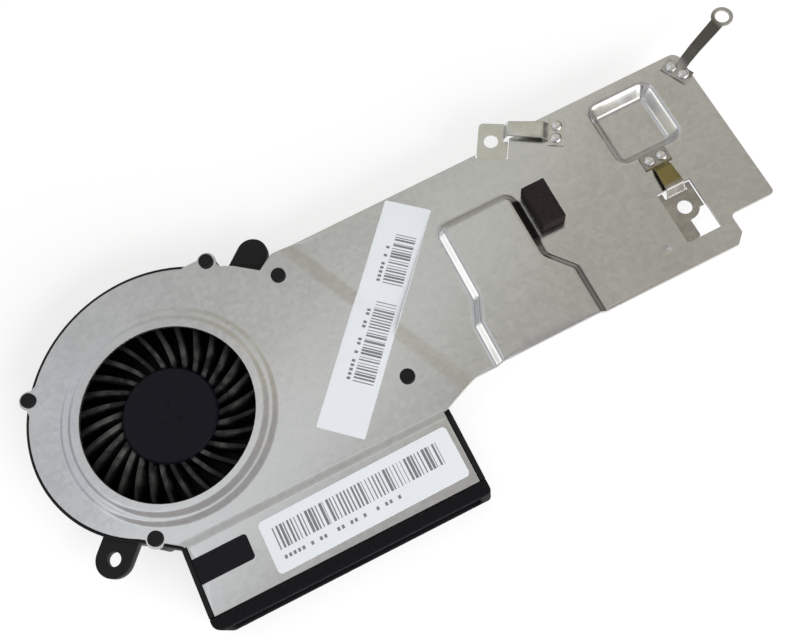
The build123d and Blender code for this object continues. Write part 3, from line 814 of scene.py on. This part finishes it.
def foam_piece(name, node, finish, cut, rough):
    """Cut foam: rounded edges and a slightly uneven skin, flat where it rests."""
    edge_radius = 0.3 * MM
    lump = 0.9 * MM
    resting = 0.05 * MM
    most_cuts = 7
    shape = rounded_copy(node, edge_radius, steps=3)
    bmesh.ops.triangulate(shape, faces=shape.faces)
    for _ in range(most_cuts):
        long = [edge for edge in shape.edges if edge.calc_length() > cut]
        if not long:
            break
        bmesh.ops.subdivide_edges(shape, edges=long, cuts=1)
        bmesh.ops.triangulate(shape, faces=[face for face in shape.faces if len(face.verts) > 3])
    shape.normal_update()
    low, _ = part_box(node)
    for vert in shape.verts:
        if vert.co.z > low.z + resting:
            shift = noise.noise(vert.co / lump) * rough - rough
            vert.co = vert.co + vert.normal * shift
    for face in shape.faces:
        face.smooth = True
    mesh = bpy.data.meshes.new(name)
    shape.to_mesh(mesh)
    shape.free()
    piece = new_piece(name, mesh, node, finish)
    return piece


# Pieces

formed_sheet(
    "spreader", "heat_spreader", rolled_sheet(), sheared_edge(),
    thick=0.8 * MM, bend=0.4 * MM, fine=0.25 * MM, coarse=1.3 * MM, rim=0.1 * MM,
)
moulded("case", "fan_housing", case_plastic(), width=0.16 * MM)
moulded("fan_wheel", "impeller", impeller_plastic(), width=0.12 * MM)

# One plated steel for all three arms, in lit and shaded copies: the left arm painted lighter, the right
# and front arms painted darker, with a dark painted reflection on the right arm's strip and an olive
# painted reflection on the front arm's strip.
arm_finishes = {
    "arm_left": spring_steel("arm_left_steel_painted_light", (0.58, 0.58, 0.54), (0.74, 0.74, 0.69)),
    "arm_right": spring_steel(
        "arm_right_steel_painted_shade", (0.42, 0.415, 0.4), (0.56, 0.55, 0.54),
        painted_reflection=(0, 14.2, 28.6, (0.15, 0.145, 0.14)),
    ),
    "arm_front": spring_steel(
        "arm_front_steel_painted_shade", (0.3, 0.285, 0.265), (0.5, 0.48, 0.445),
        painted_reflection=(1, -16.4, -10.4, (0.27, 0.22, 0.09)),
    ),
}
for arm, steel in arm_finishes.items():
    formed_sheet(
        arm + "_spring", arm, steel, steel,
        thick=0.4 * MM, bend=0.25 * MM, fine=0.2 * MM, coarse=0.7 * MM, rim=0.06 * MM,
    )
rivet_metal = plain_metal("rivet_metal", (0.7, 0.7, 0.69), (0.85, 0.85, 0.84), 0.2)
rivets("rivets", "arm_rivets", rivet_metal)

plate_paper = label_paper(
    "plate_label_paper", "plate_label", degrees=48.4,
    bars=[(-14.0, 3.0, -3.6, 0.6, 0.62), (7.0, 17.8, -3.6, 0.6, 0.62)],
    rows=[(-14.0, 1.0, 1.2, 1.9, 0.9), (7.0, 15.0, 1.2, 1.9, 0.9)],
)
formed_sheet(
    "plate_sticker", "plate_label", plate_paper, plate_paper,
    thick=0.1 * MM, bend=0.4 * MM, fine=0.4 * MM, coarse=1.6 * MM, rim=0.02 * MM,
)
outlet_paper = label_paper(
    "outlet_label_paper", "outlet_label", degrees=0.8,
    bars=[(-17.6, 16.6, -1.2, 3.2, 0.74)],
    rows=[(-17.6, 6.5, -3.1, -2.4, 0.9)],
)
formed_sheet(
    "outlet_sticker", "outlet_label", outlet_paper, outlet_paper,
    thick=0.1 * MM, bend=0.4 * MM, fine=0.5 * MM, coarse=2 * MM, rim=0.02 * MM,
)
woven_tape = tape_cloth()
formed_sheet(
    "tape", "edge_tape", woven_tape, woven_tape,
    thick=0.1 * MM, bend=0.4 * MM, fine=0.5 * MM, coarse=1.0 * MM, rim=0.03 * MM,
)

gasket_foam = foam("gasket_foam", (0.003, 0.0027, 0.0035), (0.009, 0.008, 0.01), scale=2600.0)
foam_piece("gasket", "outlet_gasket", gasket_foam, cut=1.0 * MM, rough=0.03 * MM)
block_foam = foam("block_foam", (0.008, 0.006, 0.006), (0.028, 0.022, 0.021), scale=2400.0)
foam_piece("spacer", "foam_block", block_foam, cut=0.5 * MM, rough=0.04 * MM)

inner_finishes = {
    "fin_stack": plain_metal("fin_sheet", (0.5, 0.5, 0.5), (0.66, 0.66, 0.66), 0.3),
    "rotor_yoke": plain_metal("yoke_steel", (0.42, 0.42, 0.43), (0.56, 0.56, 0.57), 0.34),
    "rotor_magnet": plain_moulding(
        "magnet_ferrite", (0.03, 0.03, 0.033), (0.06, 0.06, 0.064), 0.55
    ),
    "rotor_shaft": plain_metal("shaft_steel", (0.58, 0.58, 0.59), (0.7, 0.7, 0.71), 0.16),
    "bearing_tube": plain_metal("tube_brass", (0.55, 0.4, 0.17), (0.7, 0.54, 0.27), 0.28),
    "bearing_sleeve": plain_metal("sleeve_bronze", (0.36, 0.24, 0.12), (0.5, 0.36, 0.2), 0.42),
    "thrust_plate": plain_moulding(
        "thrust_plastic", (0.68, 0.67, 0.62), (0.76, 0.75, 0.71), 0.4
    ),
    "retaining_washer": plain_moulding(
        "washer_plastic", (0.62, 0.62, 0.6), (0.71, 0.71, 0.69), 0.4
    ),
    "stator_core": plain_metal("core_steel", (0.3, 0.31, 0.32), (0.42, 0.43, 0.44), 0.4),
    "stator_coils": plain_metal("coil_copper", (0.5, 0.2, 0.07), (0.66, 0.32, 0.13), 0.32, 2400.0),
    "driver_board": plain_moulding(
        "board_laminate", (0.015, 0.09, 0.035), (0.03, 0.15, 0.06), 0.4
    ),
    "driver_chip": plain_moulding(
        "chip_plastic", (0.02, 0.02, 0.021), (0.034, 0.034, 0.035), 0.5
    ),
}
for node, finish in inner_finishes.items():
    nodes[node].data.materials.clear()
    nodes[node].data.materials.append(finish)


# Floor, light and camera


def white_floor():
    """Pale table: white to the eye and in gloss, with a soft shadow on it."""
    f = Finish("white_floor")
    seen = f.add("LightPath", out="Is Camera Ray")
    for ray in ("Is Glossy Ray", "Is Transmission Ray"):
        seen = seen.larger(f.add("LightPath", out=ray))
    lit = f.add("BsdfDiffuse", None, {"Color": tone(0.38, 0.38, 0.38)})
    glow = f.add("Emission", None, {"Color": tone(1.0, 1.0, 1.0), "Strength": 0.67})
    shown = f.add("AddShader", None, {0: lit, 1: glow})
    plain = f.add("BsdfDiffuse", None, {"Color": tone(0.8, 0.8, 0.8)})
    mixed = f.add("MixShader", None, {0: seen, 1: plain, 2: shown})
    f.add("OutputMaterial", None, {"Surface": mixed})
    return f.owner


def pale_floor():
    """Level square just under the part."""
    half = 1.5
    level = cad_box[0].z - 0.05 * MM
    corners = [(-half, -half, level), (half, -half, level), (half, half, level), (-half, half, level)]
    mesh = bpy.data.meshes.new("floor")
    mesh.from_pydata(corners, [], [(0, 1, 2, 3)])
    mesh.materials.append(white_floor())
    floor = bpy.data.objects.new("floor", mesh)
    bpy.context.scene.collection.objects.link(floor)


def studio_sky():
    """Room light: slanting pale band overhead, dimmer warm side, two windows, dark corners low down."""
    world = bpy.data.worlds.new("studio")
    bpy.context.scene.world = world
    f = Finish("studio", world)
    x, y, z = f.axes(f.add("TexCoord", out="Generated"))
    warm_side = f.ramp(x * 0.5 + 0.5, (0.3, 0.0), (0.42, 0.55), (0.52, 0.7), (0.64, 1.0))
    sky = f.blend(warm_side, tone(0.76, 0.79, 0.84), tone(0.57, 0.55, 0.475))
    near_side = f.ramp(y * 0.5 + 0.5, (0.54, 1.0), (0.595, 0.0))
    sky = f.blend(near_side, sky, tone(0.5, 0.48, 0.475))
    low_down = f.ramp(z, (0.05, 0.75), (0.62, 0.0))
    sky = f.blend(low_down, sky, tone(0.36, 0.352, 0.34))

    middle_x, middle_y = -0.07, 0.27
    across_x, across_y = -0.39, 0.92
    band_wide = 0.24
    slant = (y - middle_y) * across_y + (x - middle_x) * across_x
    band = f.ramp(slant / band_wide + 0.5, (0.2, 0.0), (0.42, 1.0), (0.58, 1.0), (0.8, 0.0))
    along = f.ramp(x + 0.5, (0.15, 0.0), (0.45, 0.55), (0.85, 1.0))
    pale = f.blend(along, tone(1.4, 1.46, 1.52), tone(0.78, 0.77, 0.7))
    sky = f.blend(band * f.ramp(z, (0.55, 0.0), (0.75, 1.0)), sky, pale)

    # Dim corners, then windows: direction in degrees, cosines where the side fades in and is full,
    # height that it reaches, and its tone
    sides = (
        (20.0, 0.6, 0.85, 0.3, tone(0.1, 0.098, 0.095)),
        (80.0, 0.9, 0.97, 0.05, tone(0.15, 0.145, 0.138)),
        (130.0, 0.94, 0.98, 0.1, tone(0.1, 0.098, 0.094)),
        (250.0, 0.9, 0.98, 0.25, tone(0.16, 0.157, 0.15)),
        (200.0, 0.82, 0.95, 0.6, tone(0.46, 0.47, 0.49)),
        (158.0, 0.9, 0.97, 0.56, tone(0.45, 0.455, 0.465)),
        (166.0, 0.93, 0.975, 0.22, tone(1.45, 1.45, 1.42)),
        (292.0, 0.86, 0.95, 0.5, tone(1.5, 1.48, 1.42)),
        (292.0, 0.8, 0.92, 0.2, tone(3.0, 2.96, 2.84)),
    )
    top_fade = 0.16
    flat = (x * x + y * y).root() + 0.001
    for degrees, fade, full, top, shade in sides:
        turn = math.radians(degrees)
        facing = (x * math.cos(turn) + y * math.sin(turn)) / flat
        below = f.ramp(z, (top, 1.0), (top + top_fade, 0.0))
        sky = f.blend(f.ramp(facing, (fade, 0.0), (full, 1.0)) * below, sky, shade)
    light = f.add("Background", None, {"Color": sky, "Strength": 1.0})
    f.add("OutputWorld", None, {"Surface": light})


def soft_lamp(name, spot, aim, width, power, colour):
    """Wide lamp for paper and plastics.

    The metal mirrors the room alone, so it keeps its tone from every side.
    """
    lamp = bpy.data.lights.new(name, "AREA")
    lamp.shape = "RECTANGLE"
    lamp.size = width
    lamp.size_y = width * 0.7
    lamp.energy = power
    lamp.color = colour
    holder = bpy.data.objects.new(name, lamp)
    turn = (Vector(aim) - Vector(spot)).to_track_quat("-Z", "Y").to_matrix().to_4x4()
    holder.matrix_world = Matrix.Translation(spot) @ turn
    holder.visible_glossy = False
    bpy.context.scene.collection.objects.link(holder)


def photo_camera():
    """Camera at the photograph's viewing angle, turned by its own three axes."""
    data = bpy.data.cameras.new("camera")
    data.sensor_width = 36.0
    data.lens = 43.313
    data.clip_start = 5 * MM
    camera = bpy.data.objects.new("camera", data)
    right = Vector((0.89361, -0.43891, -0.09392))
    up = Vector((0.44535, 0.84093, 0.30744))
    back = Vector((-0.05596, -0.31655, 0.94692))
    turn = Matrix((right, up, back)).transposed().to_4x4()
    camera.matrix_world = Matrix.Translation((-0.07218, -0.07575, 0.18329)) @ turn
    bpy.context.scene.collection.objects.link(camera)
    bpy.context.scene.camera = camera


pale_floor()
studio_sky()
middle_of_plate = (-0.06, -0.02, 0.0)
soft_lamp("front", (0.2, -0.73, 0.35), middle_of_plate, width=0.8, power=7.8, colour=(0.98, 0.99, 1.0))
bpy.context.scene.view_settings.view_transform = "Standard"
photo_camera()
